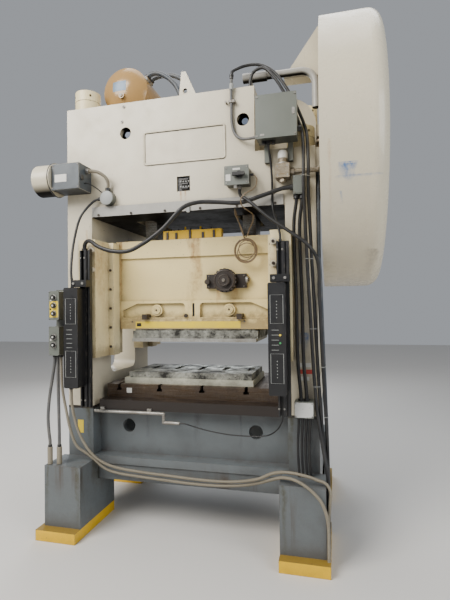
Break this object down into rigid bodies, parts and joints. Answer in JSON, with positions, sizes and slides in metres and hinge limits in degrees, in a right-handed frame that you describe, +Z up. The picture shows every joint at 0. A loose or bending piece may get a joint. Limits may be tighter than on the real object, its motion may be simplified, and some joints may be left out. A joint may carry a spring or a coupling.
{
  "type": "mechanical stamping press",
  "caption": "Straight-side mechanical press with crown, side columns, guided slide on connecting rods, bed on legs, guarded flywheel, light curtains and control gear.",
  "frame": {"origin": "on the floor at the centre of the four anchor bolts, which is the centre of the frame", "axes": "+Z up, front towards -Y, +X to the flywheel side"},
  "size_m": [2.23, 1.742, 3.328],
  "materials": {
    "cream_paint": "satin",
    "stained_cream_paint": "satin, oil stained",
    "tan_paint": "gloss",
    "blue_grey_paint": "worn",
    "yellow_paint": "worn",
    "grey_enamel": "satin",
    "bare_steel": "machined",
    "oily_steel": "oily",
    "rusty_steel": "rusty and oily",
    "bronze": "machined",
    "black_metal": "matt",
    "black_rubber": "matt",
    "black_plastic": "matt",
    "red_plastic": "gloss",
    "green_plastic": "gloss"
  },
  "bodies": {
    "frame": {"crown": "cream_paint", "crown_strip": "grey_enamel", "shut_height_counter": "black_plastic", "left_upright": "cream_paint", "right_upright": "cream_paint", "bed": "blue_grey_paint", "foot_pads": "yellow_paint", "tie_rods": "bare_steel", "tie_rod_nuts": "cream_paint", "bolster": "rusty_steel", "lower_die_shoe": "oily_steel", "lower_die_plate": "bare_steel", "front_gibs": "stained_cream_paint", "rear_gibs": "stained_cream_paint", "gib_bolts": "bare_steel", "main_bearings": "bronze", "bearing_cover": "cream_paint", "flywheel_guard": "cream_paint", "guard_brackets": "cream_paint", "motor_bracket": "cream_paint", "motor": "blue_grey_paint", "v_belts": "black_rubber", "air_tank": "tan_paint", "lifting_lug": "cream_paint", "exhaust_pipe": "stained_cream_paint", "electrical_box": "grey_enamel", "air_valve": "stained_cream_paint", "disconnect_box": "grey_enamel", "junction_boxes": "grey_enamel", "cam_switch_box": "grey_enamel", "curtain_posts": "black_metal", "light_curtains": "black_metal", "button_bracket": "grey_enamel", "button_boxes": "grey_enamel", "bed_pipe": "blue_grey_paint", "crown_cables": "black_rubber", "left_cables": "black_rubber", "right_cables": "black_rubber", "air_hoses": "black_rubber"},
    "screws": {"adjusting_screws": "bare_steel"},
    "slide": {"slide": "stained_cream_paint", "slide_liners": "bronze", "adjusting_drive": "black_metal", "slide_rods": "yellow_paint", "die_clamps": "black_metal", "upper_die_shoe": "oily_steel", "upper_die_plate": "bare_steel"},
    "crank": {"crankshaft": "bare_steel", "clutch_drum": "black_metal"},
    "rods": {"connecting_rods": "bare_steel", "rod_caps": "bare_steel", "wrist_pins": "bare_steel"},
    "flywheel": {"flywheel": "blue_grey_paint"},
    "motor_rotor": {"motor_pulley": "bare_steel"},
    "upper_button_1": {"upper_button_1": "red_plastic"},
    "upper_button_2": {"upper_button_2": "black_plastic"},
    "upper_button_3": {"upper_button_3": "green_plastic"},
    "lower_button_1": {"lower_button_1": "black_plastic"},
    "lower_button_2": {"lower_button_2": "green_plastic"},
    "disconnect_handle": {"disconnect_handle": "black_plastic"}
  },
  "joints": [
    {"name": "slide_stroke", "type": "slide", "parent": "frame", "child": "screws", "axis": [0, 0, 1], "range_m": [-0.1, 0]},
    {"name": "shut_height", "type": "slide", "parent": "screws", "child": "slide", "axis": [0, 0, 1], "range_m": [-0.03, 0.03]},
    {"name": "crank_turn", "type": "hinge", "parent": "frame", "child": "crank", "pos_m": [0, 0, 2.457], "axis": [-1, 0, 0], "range_deg": [0, 180]},
    {"name": "rod_pivot", "type": "hinge", "parent": "crank", "child": "rods", "pos_m": [0, 0, 2.507], "axis": [-1, 0, 0], "range_deg": [-180, 0]},
    {"name": "flywheel_spin", "type": "hinge", "parent": "frame", "child": "flywheel", "pos_m": [1.05, 0, 2.457], "axis": [1, 0, 0], "continuous": true},
    {"name": "motor_spin", "type": "hinge", "parent": "frame", "child": "motor_rotor", "pos_m": [1.05, 0.69, 2.7], "axis": [1, 0, 0], "continuous": true},
    {"name": "upper_button_1_press", "type": "slide", "parent": "frame", "child": "upper_button_1", "axis": [0, 1, 0], "range_m": [0, 0.005], "stiffness_N_per_m": 400, "springref_m": -0.002},
    {"name": "upper_button_2_press", "type": "slide", "parent": "frame", "child": "upper_button_2", "axis": [0, 1, 0], "range_m": [0, 0.005], "stiffness_N_per_m": 400, "springref_m": -0.002},
    {"name": "upper_button_3_press", "type": "slide", "parent": "frame", "child": "upper_button_3", "axis": [0, 1, 0], "range_m": [0, 0.005], "stiffness_N_per_m": 400, "springref_m": -0.002},
    {"name": "lower_button_1_press", "type": "slide", "parent": "frame", "child": "lower_button_1", "axis": [0, 1, 0], "range_m": [0, 0.005], "stiffness_N_per_m": 400, "springref_m": -0.002},
    {"name": "lower_button_2_press", "type": "slide", "parent": "frame", "child": "lower_button_2", "axis": [0, 1, 0], "range_m": [0, 0.005], "stiffness_N_per_m": 400, "springref_m": -0.002},
    {"name": "disconnect_turn", "type": "hinge", "parent": "frame", "child": "disconnect_handle", "pos_m": [0.395, -0.53, 2.255], "axis": [0, 1, 0], "range_deg": [0, 90]}
  ],
  "couplings": [
    {"joint": "crank_turn", "follows": "slide_stroke", "rad_per_m": -31.416},
    {"joint": "rod_pivot", "follows": "slide_stroke", "rad_per_m": 31.416},
    {"joint": "motor_spin", "follows": "flywheel_spin", "ratio": 8.22}
  ]
}
